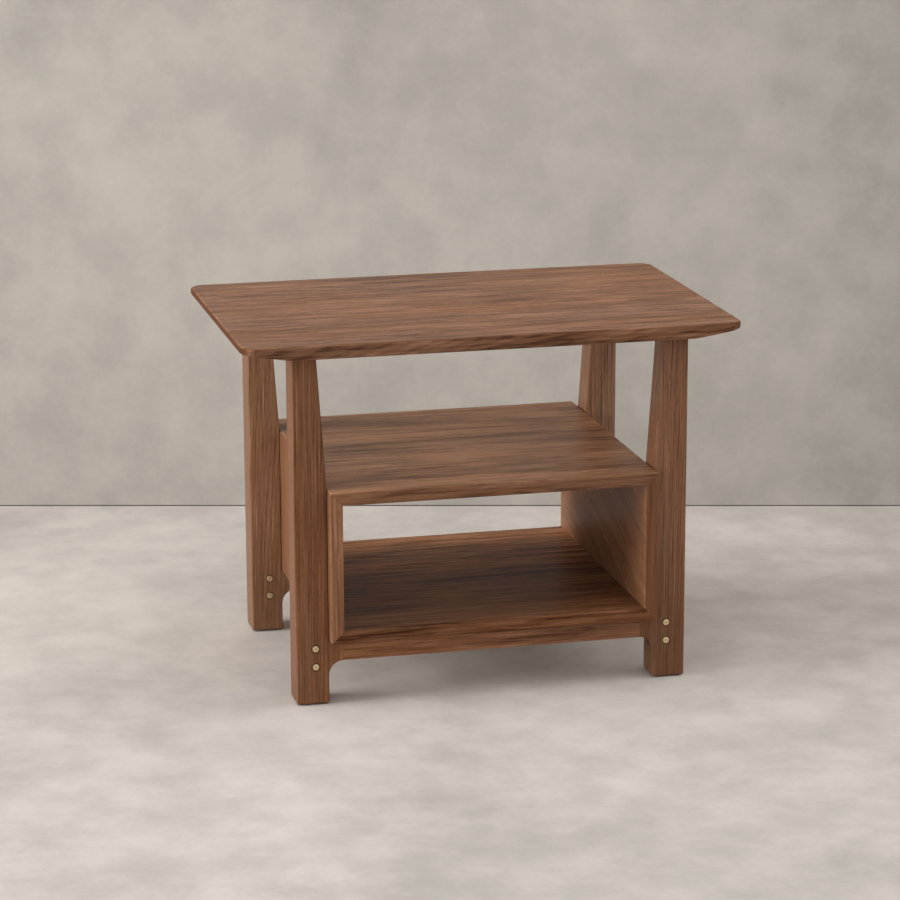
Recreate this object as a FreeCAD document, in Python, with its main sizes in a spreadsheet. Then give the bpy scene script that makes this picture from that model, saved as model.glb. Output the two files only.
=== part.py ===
import FreeCAD, Part
import math
import os

import Sketcher
from FreeCAD import Placement, Rotation, Vector

# A side table in solid walnut: a thin top on four legs, and an open mitred box held between the legs.
# X runs along the table, Y from its front to its back and Z up. The origin is on the floor, under the
# middle of the top. All lengths are in millimetres.

# Driving dimensions, one row each: name, length, what it is
DIMENSIONS = (
    ("table_length", 680.0, "tabletop from end to end"),
    ("table_depth", 440.0, "tabletop from front to back"),
    ("table_height", 498.0, "floor to the upper face of the tabletop"),
    ("top_thickness", 19.0, "tabletop along its long edges"),
    ("top_corner_radius", 22.0, "tabletop corners seen from above"),
    ("top_upper_round", 3.0, "upper edge of the tabletop"),
    ("top_lower_round", 2.0, "lower edge of the tabletop"),
    ("bevel_run", 66.0, "length of the bevel under each short end of the tabletop"),
    ("bevel_rise", 10.0, "how much thinner the tabletop is at its short ends"),
    ("bevel_blend", 70.0, "soft curve between the flat underside and the bevel"),
    ("end_overhang", 70.0, "tabletop beyond the outer faces of the legs, at each end"),
    ("side_overhang", 27.0, "tabletop beyond the legs, at the front and at the back"),
    ("leg_width", 44.0, "leg along the table, up to the shelf"),
    ("leg_top_width", 32.0, "leg along the table, under the top"),
    ("leg_depth", 46.0, "leg from front to back"),
    ("leg_round", 1.8, "long edges of the legs, and lower edges of the rails"),
    ("foot_chamfer", 1.2, "edges of the foot"),
    ("ear_radius", 20.0, "quarter round between leg and rail, and length of the leg's ear"),
    ("rail_height", 28.0, "rail between its ears"),
    ("box_base_height", 88.0, "floor to the underside of the box"),
    ("box_height", 208.0, "box over its boards"),
    ("board_thickness", 18.0, "boards of the box"),
    ("box_front_proud", 18.0, "front edges of the box beyond the front legs"),
    ("box_back_proud", 27.0, "back edges of the box beyond the back legs"),
    ("box_corner_round", 3.0, "outer mitred corners of the box"),
    ("box_edge_round", 2.6, "front and back edges of the boards"),
    ("glide_thickness", 2.0, "glide under each foot"),
    ("glide_radius", 12.0, "glide under each foot"),
    ("glide_edge", 0.6, "rim of the glide"),
    ("glide_nail_radius", 1.2, "nail of the glide"),
    ("glide_nail_length", 12.0, "nail of the glide"),
    ("tongue_thickness", 14.0, "rail tongue between the cheeks of the leg's ear"),
    ("tongue_reach", 30.0, "rail tongue inside the leg"),
    ("tongue_step", 4.0, "foot of the quarter round to the lower edge of the tongue"),
    ("pin_radius", 4.5, "brass pins"),
    ("pin_inset", 18.0, "inner face of the leg to the pins"),
    ("pin_height", 53.0, "floor to the lower pins"),
    ("pin_spacing", 25.5, "lower pins to upper pins"),
    ("pin_proud", 0.8, "pin ends beyond the faces of the leg"),
    ("pin_edge", 0.7, "bevel round the pin ends"),
    ("dimple_radius", 1.2, "dimple in each pin end"),
    ("dimple_depth", 0.7, "dimple in each pin end"),
    ("pin_hole_chamfer", 1.1, "rim of the pin holes"),
    ("top_tenon_length", 20.0, "tenon on top of the leg, along the table"),
    ("top_tenon_width", 28.0, "tenon on top of the leg, from front to back"),
    ("top_tenon_height", 11.0, "tenon on top of the leg"),
    ("side_dowel_radius", 5.0, "dowels between leg and box"),
    ("side_dowel_in_leg", 18.0, "dowel length in the leg"),
    ("side_dowel_in_board", 11.0, "dowel length in the box side"),
    ("side_dowel_edge", 42.0, "box underside, and shelf, to the nearest dowel"),
    ("rail_dowel_radius", 4.0, "dowels between rail and box"),
    ("rail_dowel_in_rail", 16.0, "dowel length in the rail"),
    ("rail_dowel_in_board", 10.0, "dowel length in the box bottom"),
    ("rail_dowel_spacing", 130.0, "one rail dowel to the next"),
    ("spline_thickness", 4.0, "loose tongue inside each mitre"),
    ("spline_width", 15.0, "loose tongue across the mitre"),
    ("spline_seat", 9.0, "inner corner of the box to the loose tongue, along the mitre"),
    ("spline_stop", 30.0, "front and back edges of the box to the loose tongue"),
    ("glue_gap", 0.1, "room on each side of a glued joint"),
    ("hole_spare", 1.0, "hole beyond the end of what sits in it"),
    ("overrun", 5.0, "how far a cut runs past the wood"),
)

DIAGONAL_SHARE = math.sqrt(0.5)
MITRE_ANGLE = 45
QUARTER_TURN = 90
HALF_TURN = 180
FULL_TURN = 360
MATCH = 0.01

# The sketcher's numbers for the ends and the centre of a curve, and for the axes of a sketch
START_POINT, END_POINT, CENTRE_POINT = 1, 2, 3
ACROSS_AXIS, UPRIGHT_AXIS = -1, -2

doc = FreeCAD.newDocument("side_table")
sheet = doc.addObject("Spreadsheet::Sheet", "Sizes")


class Size:
    """A length with the expression that binds it to the sheet."""

    def __init__(self, value, text):
        self.value = value
        self.text = text

    def __add__(self, other):
        return Size(self.value + other.value, f"({self.text} + {other.text})")

    def __sub__(self, other):
        return Size(self.value - other.value, f"({self.text} - {other.text})")

    def __neg__(self):
        return Size(-self.value, f"(-1 * {self.text})")

    def __mul__(self, factor):
        if isinstance(factor, Size):
            return Size(self.value * factor.value, f"({self.text} * {factor.text})")
        return Size(self.value * factor, f"({self.text} * {factor!r})")

    def __truediv__(self, factor):
        if isinstance(factor, Size):
            return Size(self.value / factor.value, f"({self.text} / {factor.text})")
        return Size(self.value / factor, f"({self.text} / {factor!r})")


def fill_sheet():
    """Writes the driving dimensions into the sheet and gives them back by name."""
    sizes = {}
    for row, (name, length, meaning) in enumerate(DIMENSIONS, start=1):
        sheet.set(f"A{row}", meaning)
        sheet.set(f"B{row}", str(length))
        sheet.setAlias(f"B{row}", name)
        sizes[name] = Size(length, f"Sizes.{name}")
    doc.recompute()
    return sizes


S = fill_sheet()
ZERO = Size(0.0, "0")

half_length = S["table_length"] / 2
frame_half_length = half_length - S["end_overhang"]
frame_depth = S["table_depth"] - S["side_overhang"] * 2
top_underside = S["table_height"] - S["top_thickness"]
shelf_height = S["box_base_height"] + S["box_height"]
box_centre_height = S["box_base_height"] + S["box_height"] / 2
box_half_width = frame_half_length - S["leg_width"]
box_depth = frame_depth + S["box_front_proud"] + S["box_back_proud"]
box_centre_y = (S["box_back_proud"] - S["box_front_proud"]) / 2
leg_centre_y = (frame_depth - S["leg_depth"]) / 2
rail_underside = S["box_base_height"] - S["rail_height"]
ear_foot = rail_underside - S["ear_radius"]
ear_end = S["leg_width"] + S["ear_radius"]
rail_half_length = frame_half_length - ear_end
tongue_low = ear_foot + S["tongue_step"]
upper_pin_height = S["pin_height"] + S["pin_spacing"]
pin_from_outside = S["leg_width"] - S["pin_inset"]
top_tenon_centre = S["leg_top_width"] / 2


def bind(item, name, size):
    """Sets one property of an object by an expression on the sheet."""
    item.setExpression(name, size.text)


def place(item, x=ZERO, y=ZERO, z=ZERO, rotation=None):
    """Puts an object at bound coordinates."""
    item.Placement = Placement(Vector(x.value, y.value, z.value), rotation or Rotation())
    bind(item, "Placement.Base.x", x)
    bind(item, "Placement.Base.y", y)
    bind(item, "Placement.Base.z", z)


def new_body(label):
    body = doc.addObject("PartDesign::Body", label)
    body.Label = label
    return body


def new_sketch(body, name, role, offset=ZERO):
    """Starts a sketch on one of the body's own planes, moved along the plane's normal by the offset."""
    sketch = body.newObject("Sketcher::SketchObject", name)
    plane = [item for item in body.Origin.OriginFeatures if item.Role == role][0]
    sketch.AttachmentSupport = (plane, [""])
    sketch.MapMode = "FlatFace"
    sketch.AttachmentOffset = Placement(Vector(0, 0, offset.value), Rotation())
    bind(sketch, "AttachmentOffset.Base.z", offset)
    return sketch


def fix_point(sketch, curve, end, name, u, v):
    """Holds one point of a sketch at bound coordinates."""
    for kind, axis, tag, size in (("DistanceX", UPRIGHT_AXIS, "u", u), ("DistanceY", ACROSS_AXIS, "v", v)):
        if size is ZERO:
            sketch.addConstraint(Sketcher.Constraint("PointOnObject", curve, end, axis))
            continue
        held = Sketcher.Constraint(kind, ACROSS_AXIS, START_POINT, curve, end, size.value)
        index = sketch.addConstraint(held)
        sketch.renameConstraint(index, f"{tag}_{name}")
        sketch.setExpression(f"Constraints.{tag}_{name}", size.text)


def fix_radius(sketch, curve, name, size):
    index = sketch.addConstraint(Sketcher.Constraint("Radius", curve, size.value))
    sketch.renameConstraint(index, f"radius_{name}")
    sketch.setExpression(f"Constraints.radius_{name}", size.text)


def draw_outline(sketch, points, arcs=None, tag="p"):
    """Draws a closed outline through the points, with an arc from each point that the arcs name."""
    arcs = arcs or {}
    ends = []
    for index, (u, v) in enumerate(points):
        next_u, next_v = points[(index + 1) % len(points)]
        start = Vector(u.value, v.value, 0)
        finish = Vector(next_u.value, next_v.value, 0)
        if index in arcs:
            centre_u, centre_v, radius, turn = arcs[index]
            centre = Vector(centre_u.value, centre_v.value, 0)
            first, last = (start, finish) if turn > 0 else (finish, start)
            begin = math.atan2(first.y - centre.y, first.x - centre.x)
            stop = math.atan2(last.y - centre.y, last.x - centre.x)
            circle = Part.Circle(centre, Vector(0, 0, 1), radius.value)
            curve = sketch.addGeometry(Part.ArcOfCircle(circle, begin, stop), False)
            ends.append((curve, START_POINT, END_POINT) if turn > 0 else (curve, END_POINT, START_POINT))
        else:
            curve = sketch.addGeometry(Part.LineSegment(start, finish), False)
            ends.append((curve, START_POINT, END_POINT))
    for index, (curve, _, finish_end) in enumerate(ends):
        next_curve, next_start, _ = ends[(index + 1) % len(ends)]
        sketch.addConstraint(Sketcher.Constraint("Coincident", curve, finish_end, next_curve, next_start))
    for index, ((curve, start_end, _), (u, v)) in enumerate(zip(ends, points)):
        fix_point(sketch, curve, start_end, f"{tag}{index}", u, v)
        if index in arcs:
            fix_radius(sketch, curve, f"{tag}{index}", arcs[index][2])


def draw_rectangle(sketch, centre_u, centre_v, width, height, tag="p"):
    left = centre_u - width / 2
    right = centre_u + width / 2
    low = centre_v - height / 2
    high = centre_v + height / 2
    draw_outline(sketch, [(left, low), (right, low), (right, high), (left, high)], tag=tag)


def draw_circle(sketch, centre_u, centre_v, radius, tag):
    centre = Vector(centre_u.value, centre_v.value, 0)
    curve = sketch.addGeometry(Part.Circle(centre, Vector(0, 0, 1), radius.value), False)
    fix_point(sketch, curve, CENTRE_POINT, tag, centre_u, centre_v)
    fix_radius(sketch, curve, tag, radius)


def pad(body, sketch, name, length, both_ways=True):
    """Gives a sketch its thickness: half to each side of its plane, or all along its normal."""
    feature = body.newObject("PartDesign::Pad", name)
    feature.Profile = sketch
    feature.SideType = "Symmetric" if both_ways else "One side"
    bind(feature, "Length", length)
    sketch.Visibility = False
    doc.recompute()
    return feature


def pocket(body, sketch, name, length, both_ways=False, reverse=False):
    """Cuts a sketch out of the body and makes sure that wood was taken away."""
    before = body.Shape.Volume
    feature = body.newObject("PartDesign::Pocket", name)
    feature.Profile = sketch
    feature.SideType = "Symmetric" if both_ways else "One side"
    feature.Reversed = reverse
    bind(feature, "Length", length)
    sketch.Visibility = False
    doc.recompute()
    if not body.Shape.Volume < before:
        raise RuntimeError(f"{name} of {body.Label} cuts nothing")
    return feature


def edge_names(shape, wanted):
    """Names of the edges whose lowest and highest corner pass the test."""
    names = []
    for index, edge in enumerate(shape.Edges, start=1):
        box = edge.BoundBox
        if wanted(edge, box):
            names.append(f"Edge{index}")
    return names


def dress(body, kind, name, wanted, size):
    """Rounds or chamfers the edges of the body that pass the test."""
    tip = body.Tip
    names = edge_names(tip.Shape, wanted)
    if not names:
        raise RuntimeError(f"{name} of {body.Label} finds no edge")
    feature = body.newObject(f"PartDesign::{kind}", name)
    feature.Base = (tip, names)
    bind(feature, "Radius" if kind == "Fillet" else "Size", size)
    doc.recompute()
    if not feature.isValid():
        raise RuntimeError(f"{name} of {body.Label} failed on {names}")
    return feature


def near(first, second):
    return abs(first - second) < MATCH


# Tabletop

def make_tabletop():
    """A solid board, full thickness along its long edges and bevelled under its two short ends."""
    body = new_body("tabletop")
    run = half_length - S["bevel_run"]
    profile = new_sketch(body, "tabletop_profile", "XZ_Plane")
    points = [(-half_length, S["bevel_rise"]), (-run, ZERO), (run, ZERO), (half_length, S["bevel_rise"]),
              (half_length, S["top_thickness"]), (-half_length, S["top_thickness"])]
    draw_outline(profile, points)
    pad(body, profile, "tabletop_board", S["table_depth"])
    end = half_length.value
    high = S["top_thickness"].value
    dress(body, "Fillet", "tabletop_bevel_blend",
          lambda edge, box: near(abs(box.XMin), run.value) and near(box.XLength, 0), S["bevel_blend"])
    dress(body, "Fillet", "tabletop_corners",
          lambda edge, box: near(abs(box.XMin), end) and near(box.XLength, 0) and near(box.YLength, 0),
          S["top_corner_radius"])
    dress(body, "Fillet", "tabletop_upper_edge",
          lambda edge, box: near(box.ZMin, high) and near(box.ZMax, high), S["top_upper_round"])
    dress(body, "Fillet", "tabletop_lower_edge", is_lower_rim, S["top_lower_round"])
    mortises = new_sketch(body, "leg_mortise_places", "XY_Plane")
    tenon_x = frame_half_length - top_tenon_centre
    mortise_length = S["top_tenon_length"] + S["glue_gap"] * 2
    mortise_width = S["top_tenon_width"] + S["glue_gap"] * 2
    for side, x in (("left", -tenon_x), ("right", tenon_x)):
        for row, y in (("front", -leg_centre_y), ("back", leg_centre_y)):
            draw_rectangle(mortises, x, y, mortise_length, mortise_width, tag=f"{side}_{row}")
    pocket(body, mortises, "leg_mortises", S["top_tenon_height"] + S["hole_spare"], reverse=True)
    place(body, z=top_underside)
    return body


def is_lower_rim(edge, box):
    """True for the edges round the underside, and not for the lines where its bevelled ends begin."""
    high = (S["top_thickness"] - S["top_upper_round"]).value
    if box.ZMax > high - MATCH or near(box.ZLength, high):
        return False
    crosswise = near(box.XLength, 0) and abs(box.XMin) < half_length.value - MATCH
    upright = near(box.XLength, 0) and near(box.YLength, 0)
    return not crosswise and not upright


# Legs

def make_leg(label, right_side, back_row):
    """A leg with a straight outer face, a tapered inner face and an ear that takes the end of a rail."""
    body = new_body(label)
    foot = S["glide_thickness"]
    profile = new_sketch(body, f"{label}_profile", "XZ_Plane")
    points = [(ZERO, foot), (S["leg_width"], foot), (S["leg_width"], ear_foot), (ear_end, rail_underside),
              (ear_end, S["box_base_height"]), (S["leg_width"], S["box_base_height"]),
              (S["leg_width"], shelf_height), (S["leg_top_width"], top_underside), (ZERO, top_underside)]
    draw_outline(profile, points, {2: (ear_end, ear_foot, S["ear_radius"], -1)})
    pad(body, profile, f"{label}_blank", S["leg_depth"])
    dress(body, "Fillet", f"{label}_long_edges", is_long_leg_edge, S["leg_round"])
    low = foot.value
    dress(body, "Chamfer", f"{label}_foot_edges",
          lambda edge, box: near(box.ZMin, low) and near(box.ZMax, low), S["foot_chamfer"])
    cut_tongue_slot(body, label)
    cut_leg_holes(body, label)
    tenon = new_sketch(body, f"{label}_tenon_place", "XY_Plane", top_underside)
    draw_rectangle(tenon, top_tenon_centre, ZERO, S["top_tenon_length"], S["top_tenon_width"])
    pad(body, tenon, f"{label}_tenon", S["top_tenon_height"], both_ways=False)
    x = frame_half_length if right_side else -frame_half_length
    y = leg_centre_y if back_row else -leg_centre_y
    place(body, x=x, y=y, rotation=Rotation(Vector(0, 0, 1), HALF_TURN if right_side else 0))
    return body


def is_long_leg_edge(edge, box):
    """True for the edges of the front and back faces that run up the leg, the quarter round among them."""
    if not near(box.YLength, 0) or box.ZLength < S["ear_radius"].value / 2:
        return False
    beside_rail = near(box.XMin, ear_end.value) and near(box.XMax, ear_end.value)
    return not beside_rail


def cut_tongue_slot(body, label):
    """Opens the ear between its two cheeks and takes the slot on into the leg as a mortise."""
    slot = new_sketch(body, f"{label}_slot_outline", "XZ_Plane")
    deep_end = S["leg_width"] - S["tongue_reach"] - S["hole_spare"]
    beyond = ear_end + S["overrun"]
    above = S["box_base_height"] + S["overrun"]
    points = [(deep_end, tongue_low), (S["leg_width"], tongue_low), (S["leg_width"], ear_foot),
              (beyond, ear_foot), (beyond, above), (S["leg_width"], above),
              (S["leg_width"], S["box_base_height"]), (deep_end, S["box_base_height"])]
    draw_outline(slot, points)
    pocket(body, slot, f"{label}_slot", S["tongue_thickness"] + S["glue_gap"] * 2, both_ways=True)


def cut_leg_holes(body, label):
    """Holes for the two pins, the two dowels of the box side and the nail of the glide."""
    pins = new_sketch(body, f"{label}_pin_places", "XZ_Plane")
    draw_circle(pins, pin_from_outside, S["pin_height"], S["pin_radius"], "lower")
    draw_circle(pins, pin_from_outside, upper_pin_height, S["pin_radius"], "upper")
    pocket(body, pins, f"{label}_pin_holes", S["leg_depth"] + S["overrun"], both_ways=True)
    dress(body, "Chamfer", f"{label}_pin_hole_rims", is_pin_hole_rim, S["pin_hole_chamfer"])
    dowels = new_sketch(body, f"{label}_dowel_places", "YZ_Plane", S["leg_width"])
    for tag, height in (("low", S["box_base_height"] + S["side_dowel_edge"]),
                        ("high", shelf_height - S["side_dowel_edge"])):
        draw_circle(dowels, ZERO, height, S["side_dowel_radius"], tag)
    pocket(body, dowels, f"{label}_dowel_holes", S["side_dowel_in_leg"] + S["hole_spare"])
    nail = new_sketch(body, f"{label}_nail_place", "XY_Plane", S["glide_thickness"])
    draw_circle(nail, S["leg_width"] / 2, ZERO, S["glide_nail_radius"], "nail")
    pocket(body, nail, f"{label}_nail_hole", S["glide_nail_length"] + S["hole_spare"], reverse=True)


def is_pin_hole_rim(edge, box):
    """True for the mouths of the pin holes on the front and back faces of the leg."""
    on_face = near(abs(box.YMin), (S["leg_depth"] / 2).value) and near(box.YLength, 0)
    return on_face and isinstance(edge.Curve, Part.Circle) and near(edge.Curve.Radius, S["pin_radius"].value)


def make_glide(label, right_side, back_row):
    """A low disc with a nail, under the middle of the foot."""
    body = new_body(label)
    half = new_sketch(body, f"{label}_section", "XZ_Plane")
    rim = S["glide_radius"] - S["glide_edge"]
    nail_top = S["glide_thickness"] + S["glide_nail_length"]
    points = [(ZERO, ZERO), (rim, ZERO), (S["glide_radius"], S["glide_edge"]),
              (S["glide_radius"], S["glide_thickness"]), (S["glide_nail_radius"], S["glide_thickness"]),
              (S["glide_nail_radius"], nail_top), (ZERO, nail_top)]
    draw_outline(half, points)
    turn(body, half, f"{label}_disc")
    x = frame_half_length - S["leg_width"] / 2
    y = leg_centre_y if back_row else -leg_centre_y
    place(body, x=x if right_side else -x, y=y)
    return body


def turn(body, sketch, name):
    """Revolves a half section round the sketch's own upright axis."""
    feature = body.newObject("PartDesign::Revolution", name)
    feature.Profile = sketch
    feature.ReferenceAxis = (sketch, ["V_Axis"])
    feature.Angle = FULL_TURN
    sketch.Visibility = False
    doc.recompute()
    return feature


# Rails

def make_rail(label, back_row):
    """A rail under the box, with a tongue at each end that fills the slot of the leg's ear."""
    body = new_body(label)
    bar = new_sketch(body, f"{label}_bar_outline", "XZ_Plane")
    draw_outline(bar, [(-rail_half_length, rail_underside), (rail_half_length, rail_underside),
                       (rail_half_length, S["box_base_height"]), (-rail_half_length, S["box_base_height"])])
    pad(body, bar, f"{label}_bar", S["leg_depth"])
    low = rail_underside.value
    dress(body, "Fillet", f"{label}_lower_edges",
          lambda edge, box: near(box.ZMax, low) and near(box.YLength, 0), S["leg_round"])
    for side, sign in (("left", -1), ("right", 1)):
        add_tongue(body, f"{label}_{side}", sign)
    holes = new_sketch(body, f"{label}_dowel_places", "XY_Plane", S["box_base_height"])
    for tag, x in rail_dowel_places():
        draw_circle(holes, x, ZERO, S["rail_dowel_radius"], tag)
    pocket(body, holes, f"{label}_dowel_holes", S["rail_dowel_in_rail"] + S["hole_spare"])
    place(body, y=leg_centre_y if back_row else -leg_centre_y)
    return body


def add_tongue(body, name, sign):
    """The tongue follows the quarter round of the ear and ends inside the leg."""
    inner_face = box_half_width
    tip = inner_face + S["tongue_reach"]
    outline = new_sketch(body, f"{name}_tongue_outline", "XZ_Plane")
    points = [(rail_half_length, rail_underside), (inner_face, ear_foot), (inner_face, tongue_low),
              (tip, tongue_low), (tip, S["box_base_height"]), (rail_half_length, S["box_base_height"])]
    points = [(u * sign, v) for u, v in points]
    draw_outline(outline, points, {0: (rail_half_length * sign, ear_foot, S["ear_radius"], -sign)})
    pad(body, outline, f"{name}_tongue", S["tongue_thickness"])
    pins = new_sketch(body, f"{name}_pin_places", "XZ_Plane")
    pin_x = (inner_face + S["pin_inset"]) * sign
    draw_circle(pins, pin_x, S["pin_height"], S["pin_radius"], "lower")
    draw_circle(pins, pin_x, upper_pin_height, S["pin_radius"], "upper")
    pocket(body, pins, f"{name}_pin_holes", S["tongue_thickness"] + S["overrun"], both_ways=True)


def rail_dowel_places():
    return (("left", -S["rail_dowel_spacing"]), ("middle", ZERO), ("right", S["rail_dowel_spacing"]))


# Box

def make_board(label, half_width, half_span, angle, holes):
    """One mitred board, drawn lying above the middle of the box and then turned to its side of it."""
    body = new_body(label)
    outer = half_span
    inner = half_span - S["board_thickness"]
    inner_end = half_width - S["board_thickness"]
    round_end = half_width - S["box_corner_round"]
    mitre_end = round_end + S["box_corner_round"] * DIAGONAL_SHARE
    mitre_top = outer - S["box_corner_round"] + S["box_corner_round"] * DIAGONAL_SHARE
    round_height = outer - S["box_corner_round"]
    profile = new_sketch(body, f"{label}_profile", "XZ_Plane")
    points = [(inner_end, inner), (mitre_end, mitre_top), (round_end, outer),
              (-round_end, outer), (-mitre_end, mitre_top), (-inner_end, inner)]
    arcs = {1: (round_end, round_height, S["box_corner_round"], 1),
            3: (-round_end, round_height, S["box_corner_round"], 1)}
    draw_outline(profile, points, arcs)
    pad(body, profile, f"{label}_blank", box_depth)
    dress(body, "Fillet", f"{label}_edges", is_board_edge, S["box_edge_round"])
    cut_spline_slots(body, label, inner_end, inner)
    if holes:
        places = new_sketch(body, f"{label}_dowel_places", "XY_Plane", outer)
        radius, depth, spots = holes
        for tag, u, v in spots:
            draw_circle(places, u, v, radius, tag)
        pocket(body, places, f"{label}_dowel_holes", depth + S["hole_spare"])
    place(body, y=box_centre_y, z=box_centre_height, rotation=Rotation(Vector(0, 1, 0), angle))
    return body


def is_board_edge(edge, box):
    """True for the front and back edges of the inner face and of the outer face with its rounded ends."""
    at_end = near(box.YLength, 0) and near(abs(box.YMin), (box_depth / 2).value)
    on_mitre = near(box.XLength, box.ZLength) and box.ZLength > S["box_corner_round"].value
    return at_end and not on_mitre


def cut_spline_slots(body, label, inner_end, inner):
    """Half of the slot for a loose tongue, square to the mitre, at each end of the board."""
    outline = new_sketch(body, f"{label}_slot_outline", "XZ_Plane")
    along = (S["spline_width"] / 2 + S["glue_gap"]) * DIAGONAL_SHARE
    across = (S["spline_thickness"] / 2 + S["glue_gap"]) * DIAGONAL_SHARE
    seat = S["spline_seat"] * DIAGONAL_SHARE
    for side, sign in (("near", -1), ("far", 1)):
        u = inner_end + seat
        v = inner + seat
        points = [(u - along - across, v + along - across), (u + along - across, v - along - across),
                  (u + along + across, v - along + across), (u - along + across, v + along + across)]
        draw_outline(outline, [(p * sign, q) for p, q in points], tag=side)
    pocket(body, outline, f"{label}_slots", spline_length() + S["glue_gap"] * 2, both_ways=True)


def spline_length():
    return box_depth - S["spline_stop"] * 2


def make_spline(label, right_side, top_corner):
    """A loose tongue inside one mitre."""
    strip = doc.addObject("Part::Box", label)
    strip.Label = label
    bind(strip, "Length", S["spline_width"])
    bind(strip, "Width", spline_length())
    bind(strip, "Height", S["spline_thickness"])
    across = 1 if right_side else -1
    up = 1 if top_corner else -1
    seat = S["board_thickness"] - S["spline_seat"] * DIAGONAL_SHARE
    centre_x = (box_half_width - seat) * across
    centre_z = box_centre_height + (S["box_height"] / 2 - seat) * up
    corner = (S["spline_width"] / 2) * DIAGONAL_SHARE
    lift = (S["spline_thickness"] / 2) * DIAGONAL_SHARE
    falling = across == up
    x = centre_x - corner - (lift if falling else -lift)
    z = centre_z + (corner if falling else -corner) - lift
    angle = MITRE_ANGLE if falling else -MITRE_ANGLE
    place(strip, x=x, y=box_centre_y - spline_length() / 2, z=z, rotation=Rotation(Vector(0, 1, 0), angle))
    return strip


def make_box():
    """Four boards mitred into a box that is open at the front and the back."""
    half_height = S["box_height"] / 2
    make_board("shelf_board", box_half_width, half_height, 0, None)
    rail_spots = []
    for row, y in (("front", -leg_centre_y), ("back", leg_centre_y)):
        rail_spots += [(f"{row}_{tag}", x, y - box_centre_y) for tag, x in rail_dowel_places()]
    make_board("bottom_board", box_half_width, half_height, HALF_TURN,
               (S["rail_dowel_radius"], S["rail_dowel_in_board"], rail_spots))
    reach = half_height - S["side_dowel_edge"]
    side_spots = []
    for row, y in (("front", -leg_centre_y), ("back", leg_centre_y)):
        side_spots += [(f"{row}_low", reach, y - box_centre_y), (f"{row}_high", -reach, y - box_centre_y)]
    side_holes = (S["side_dowel_radius"], S["side_dowel_in_board"], side_spots)
    make_board("left_side_board", half_height, box_half_width, -QUARTER_TURN, side_holes)
    make_board("right_side_board", half_height, box_half_width, QUARTER_TURN, side_holes)
    for height, top_corner in (("upper", True), ("lower", False)):
        for side, right_side in (("left", False), ("right", True)):
            make_spline(f"{height}_{side}_mitre_tongue", right_side, top_corner)


# Pins and dowels

def group(label, members):
    """Puts like pieces into one sub-part, each still a solid of its own."""
    bundle = doc.addObject("Part::Compound", label)
    bundle.Label = label
    bundle.Links = members
    return bundle


def make_pins():
    """Two brass pins through each leg and its rail tongue, with a dimple in each end."""
    members = []
    half = S["leg_depth"] / 2 + S["pin_proud"]
    rim = S["pin_radius"] - S["pin_edge"]
    points = [(ZERO, S["dimple_depth"] - half), (S["dimple_radius"], -half), (rim, -half),
              (S["pin_radius"], S["pin_edge"] - half), (S["pin_radius"], half - S["pin_edge"]), (rim, half),
              (S["dimple_radius"], half), (ZERO, half - S["dimple_depth"])]
    pin_x = frame_half_length - pin_from_outside
    for side, x in (("left", -pin_x), ("right", pin_x)):
        for row, y in (("front", -leg_centre_y), ("back", leg_centre_y)):
            for level, z in (("lower", S["pin_height"]), ("upper", upper_pin_height)):
                name = f"{row}_{side}_{level}_pin"
                body = new_body(name)
                section = new_sketch(body, f"{name}_section", "XZ_Plane")
                draw_outline(section, points)
                turn(body, section, f"{name}_rod")
                place(body, x=x, y=y, z=z, rotation=Rotation(Vector(1, 0, 0), QUARTER_TURN))
                members.append(body)
    return group("brass_pins", members)


def make_dowel(name, radius, length, x, y, z, rotation):
    rod = doc.addObject("Part::Cylinder", name)
    rod.Label = name
    bind(rod, "Radius", radius)
    bind(rod, "Height", length)
    place(rod, x=x, y=y, z=z, rotation=rotation)
    return rod


def make_side_dowels():
    """Dowels that hold the box between the legs."""
    members = []
    length = S["side_dowel_in_leg"] + S["side_dowel_in_board"]
    start = box_half_width - S["side_dowel_in_board"]
    for side, sign in (("left", -1), ("right", 1)):
        turned = Rotation(Vector(0, 1, 0), QUARTER_TURN * sign)
        for row, y in (("front", -leg_centre_y), ("back", leg_centre_y)):
            for level, z in (("low", S["box_base_height"] + S["side_dowel_edge"]),
                             ("high", shelf_height - S["side_dowel_edge"])):
                members.append(make_dowel(f"{row}_{side}_{level}_dowel", S["side_dowel_radius"], length,
                                          start * sign, y, z, turned))
    return group("side_dowels", members)


def make_rail_dowels():
    """Dowels that stand in the rails and hold the box down on them."""
    members = []
    length = S["rail_dowel_in_rail"] + S["rail_dowel_in_board"]
    start = S["box_base_height"] - S["rail_dowel_in_rail"]
    for row, y in (("front", -leg_centre_y), ("back", leg_centre_y)):
        for tag, x in rail_dowel_places():
            members.append(make_dowel(f"{row}_{tag}_rail_dowel", S["rail_dowel_radius"], length,
                                      x, y, start, Rotation()))
    return group("rail_dowels", members)


def make_table():
    make_tabletop()
    for row, back_row in (("front", False), ("back", True)):
        for side, right_side in (("left", False), ("right", True)):
            make_leg(f"{row}_{side}_leg", right_side, back_row)
            make_glide(f"{row}_{side}_glide", right_side, back_row)
        make_rail(f"{row}_rail", back_row)
    make_box()
    make_pins()
    make_side_dowels()
    make_rail_dowels()


def sub_parts():
    """The objects that are pieces of the table: each body, strip and group that no group holds."""
    grouped = [member for item in doc.Objects if item.TypeId == "Part::Compound" for member in item.Links]
    kinds = ("PartDesign::Body", "Part::Box", "Part::Compound")
    return [item for item in doc.Objects if item.TypeId in kinds and item not in grouped]


def check_model():
    for item in doc.Objects:
        if "Invalid" in item.State or "Error" in item.State:
            raise RuntimeError(f"{item.Label} failed: {item.State}")
    for item in sub_parts():
        if item.Shape.isNull() or not item.Shape.isValid():
            raise RuntimeError(f"{item.Label} has no valid shape")


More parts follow.
